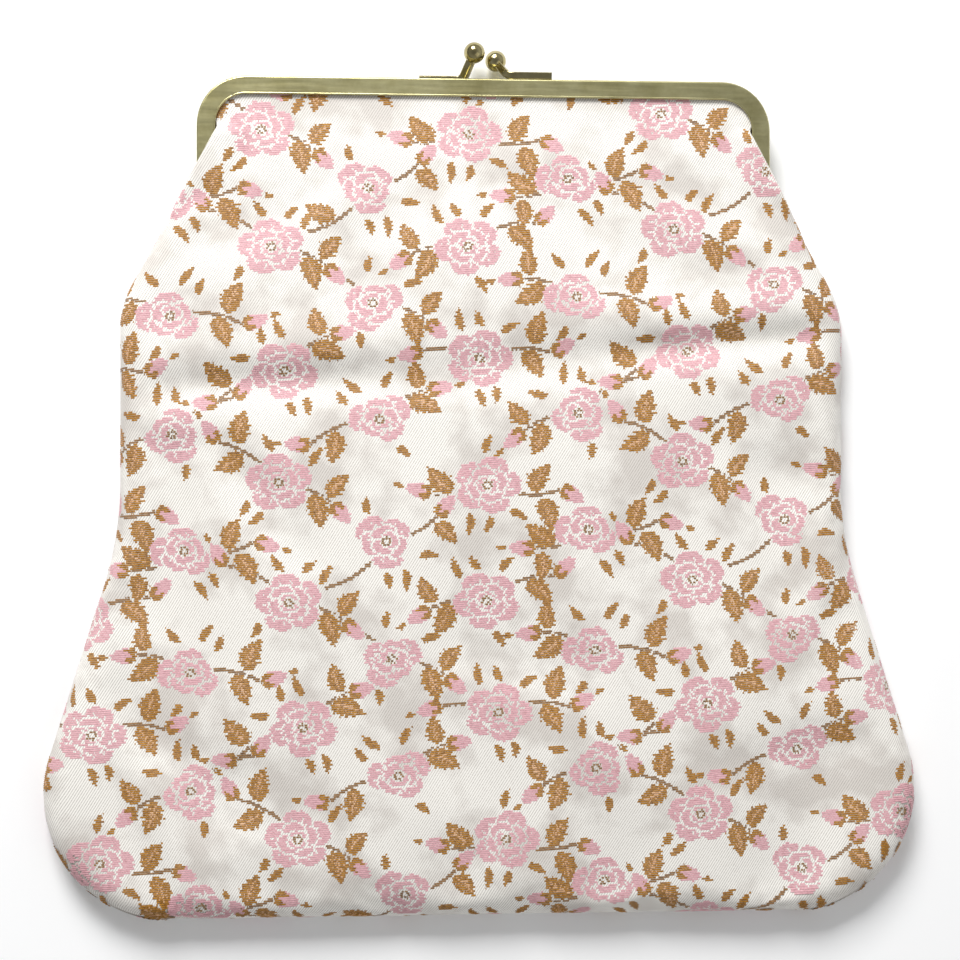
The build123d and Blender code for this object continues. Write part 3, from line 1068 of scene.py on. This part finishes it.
def layerPiece(name, side, inset, thickness, material):
    # the outer layer is the wall itself, and the inner ones hang beneath it on a coarser grid
    if inset == 0:
        drop = np.repeat(rowDrops[:, None], len(columns), axis=1)
        half = np.repeat(rowHalves[:, None], len(columns), axis=1)
        outerFace = walls[side]
        innerFace = walls[side] - normals[side] * thickness
        x = unrolled(half * columns, half, sewnShare(drop))
        drop = unrolled(drop, bagDrop, 1.0)
    else:
        rows = rowDrops[sorted({*range(0, len(rowDrops), 2), len(rowDrops) - 1})]
        cols = columns[::2]
        drop = np.repeat(rows[:, None], len(cols), axis=1)
        x = innerHalf(drop, inset) * cols
        drop = np.minimum(drop, bagDrop)
        outerFace = drape(side, x, drop, np.full(drop.shape, -inset))
        innerFace = drape(side, x, drop, np.full(drop.shape, -inset - thickness))
    piece = shellPiece(name, outerFace, innerFace, material, side == "front")
    flat = np.stack([x, frameTop - drop], axis=2).reshape(-1, 2)
    clothMap(piece, np.concatenate([flat, flat]))
    return piece


def bendAtHinge(piece):
    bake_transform(piece)


def carry(piece, side):
    if side == "front":
        bendAtHinge(piece)
    else:
        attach(piece, "bag")


layers = {
    "outer": (0, bag["outer"], satinMaterial(), "brocade"),
    "interlining": (
        bag["outer"] + bag["gap"], bag["interlining"],
        plainCloth("felted padding", (0.72, 0.70, 0.66), (0.6, 0.58, 0.54), 1.4, 0.9), "interlining",
    ),
    "lining": (
        bag["outer"] + bag["interlining"] + 2 * bag["gap"], bag["lining"],
        plainCloth("lining satin", (0.74, 0.66, 0.54), (0.58, 0.5, 0.39), 0.4, 0.45), "lining",
    ),
}

for side in ("front", "back"):
    for name, (inset, thickness, material, slot) in layers.items():
        piece = layerPiece(f"{name}_{side}", side, inset, thickness, material)
        nodes = [f"{name}_{side}_panel"] + ([f"{name}_front_panel_top"] if side == "front" else [])
        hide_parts(*nodes)
        carry(piece, side)
    print("layers of the", side, "wall")

threadLooks = {kind: threadMaterial(kind) for kind in labels}
for side in ("front", "back"):
    for kind in labels:
        piece = floatPiece(side, kind, threadLooks[kind])
        carry(piece, side)
        print(piece.name, len(piece.data.polygons) * 2, "triangles")

frameBrass, claspShadedBrass, paper = brassMaterial("frame"), brassMaterial("clasp"), paperMaterial()
finishes = {
    "front_frame": frameBrass, "back_frame": frameBrass,
    "hinge_rivet_left": frameBrass, "hinge_rivet_right": frameBrass,
    "front_clasp_arm": claspShadedBrass, "back_clasp_arm": claspShadedBrass,
    "front_clasp_ball": claspShadedBrass, "back_clasp_ball": claspShadedBrass,
    "front_frame_cord": paper, "back_frame_cord": paper,
}
for node, material in finishes.items():
    for slot in frame["nodes"][node].material_slots:
        slot.material = material

stitch = {
    "long": 2.1 * mm,
    "pitch": 3.1 * mm,
    "radius": 0.13 * mm,
    "endShare": 0.45,  # of the radius, where the thread goes into the cloth
    "sides": 6,
    "stations": 4,
    "from": 46 * mm,  # the drop at which the seams start
    "sunk": 0.5 * mm,
}


def stitchPath(at, along, run):
    # points down the middle of one stitch, sunk into the seam, and the direction across it
    x, drop = np.interp(at, along, run[:, 0]), np.interp(at, along, run[:, 1])
    path = np.stack([x, frameTop - drop, np.full(len(at), hingeZ)], axis=1)
    way = path[-1] - path[0]
    way /= np.linalg.norm(way)
    across = np.array([-way[1], way[0], 0])
    inward = across * np.sign(-(path[1] @ across))
    return path, inward


def tubeFaces(base, stations, sides):
    faces = []
    for a in range(base, base + (stations - 1) * sides, sides):
        for m in range(sides):
            n = (m + 1) % sides
            faces.append((a + m, a + n, a + sides + n, a + sides + m))
    faces.append(tuple(base + m for m in range(sides - 1, -1, -1)))
    last = base + (stations - 1) * sides
    faces.append(tuple(last + m for m in range(sides)))
    return faces


def seamStitches():
    # short threads one after another in the groove of the turned seam
    right = outline[outline[:, 1] > stitch["from"]]
    run = np.concatenate([right, right[::-1] * [-1, 1]])
    steps = np.linalg.norm(np.diff(run, axis=0), axis=1)
    along = np.concatenate([[0], np.cumsum(steps)])
    stations, sides = stitch["stations"], stitch["sides"]
    ring = np.arange(sides) * 2 * math.pi / sides
    points, faces = [], []
    for start in np.arange(0, along[-1] - stitch["long"], stitch["pitch"]):
        faces += tubeFaces(len(points), stations, sides)
        at = start + np.linspace(0, 1, stations) * stitch["long"]
        path, inward = stitchPath(at, along, run)
        for k, centre in enumerate(path):
            thin = stitch["radius"] * (stitch["endShare"] if k in (0, stations - 1) else 1)
            for a in ring:
                up = np.array([0, 0, thin * math.sin(a)])
                points.append(centre + inward * (stitch["sunk"] + thin * math.cos(a)) + up)
    return meshPiece("seam_stitches", np.array(points), faces, plainThread)


plainThread = plainCloth("sewing thread", (0.8, 0.76, 0.68), (0.66, 0.62, 0.54), 0.3, 0.6)
seam = seamStitches()
clothMap(seam, np.array([v.co for v in seam.data.vertices])[:, :2])
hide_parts("outer_seam_stitches", "lining_seam_stitches")
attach(seam, "bag")
print("seam stitched")

studio = {
    "floor": (0.99, 0.99, 0.99),
    "floorHalf": 3.0,
    # brightness of the sky from the horizon to overhead, its tint, and how it brightens to the right
    "sky": [(0.0, 0.30), (0.3, 0.52), (0.55, 0.58), (0.78, 0.42), (0.92, 0.31), (1.0, 0.27)],
    "tint": (0.98, 0.99, 1.0),
    "toRight": (0.3, 0.85),
    "lights": [
        # name, place, power, width
        ("key", (-0.24, 0.84, 0.68), 14.4, 0.45),
        ("fill", (0.7, -0.5, 1.0), 1.2, 0.9),
    ],
    "cameraDistance": 480 * mm,
    "cameraLean": 3.6,  # degrees towards the left
    "lookAt": (-1.5 * mm, -0.3 * mm, 8 * mm),
    "lens": 67.8,
}


def layFloor():
    size = studio["floorHalf"]
    corners = [(-size, -size, 0), (size, -size, 0), (size, size, 0), (-size, size, 0)]
    material, _, shader = nodeSet("pale floor")
    shader.inputs["Base Color"].default_value = (*studio["floor"], 1)
    shader.inputs["Roughness"].default_value = 0.9
    floor = meshPiece("floor", corners, [(0, 1, 2, 3)], material, False)


def paintSky():
    world = bpy.data.worlds.new("studio")
    world.use_nodes = True
    tree = world.node_tree
    split = addNode(tree, "SeparateXYZ")
    tree.links.new(addNode(tree, "TexCoord").outputs["Generated"], split.inputs["Vector"])
    stops = [(place, tuple(v * share for share in studio["tint"])) for place, v in studio["sky"]]
    sky = rampNode(tree, split.outputs["Z"], stops)
    side = mathNode(tree, "MULTIPLY_ADD", split.outputs["X"], *studio["toRight"])
    shaded = mixColour(tree, "MULTIPLY", 1.0, sky, side)
    tree.links.new(shaded, tree.nodes["Background"].inputs["Color"])
    bpy.context.scene.world = world


def hangLights():
    for name, place, power, wide in studio["lights"]:
        light = bpy.data.lights.new(name, "AREA")
        light.energy, light.size = power, wide
        lamp = bpy.data.objects.new(name, light)
        lamp.location = place
        lamp.rotation_euler = (-Vector(place)).to_track_quat("-Z", "Y").to_euler()
        bpy.context.scene.collection.objects.link(lamp)


def setCamera():
    camera = bpy.data.objects.new("camera", bpy.data.cameras.new("camera"))
    lean = math.radians(studio["cameraLean"])
    away = Vector((-math.sin(lean), 0, math.cos(lean)))
    camera.location = Vector(studio["lookAt"]) + away * studio["cameraDistance"]
    camera.rotation_euler = (0, -lean, 0)
    camera.data.lens = studio["lens"]
    camera.data.clip_start = 0.01
    bpy.context.scene.collection.objects.link(camera)
    bpy.context.scene.camera = camera
    bpy.context.scene.view_settings.view_transform = "Standard"


layFloor()
paintSky()
hangLights()
setCamera()
print("studio ready")
print("purse finished")
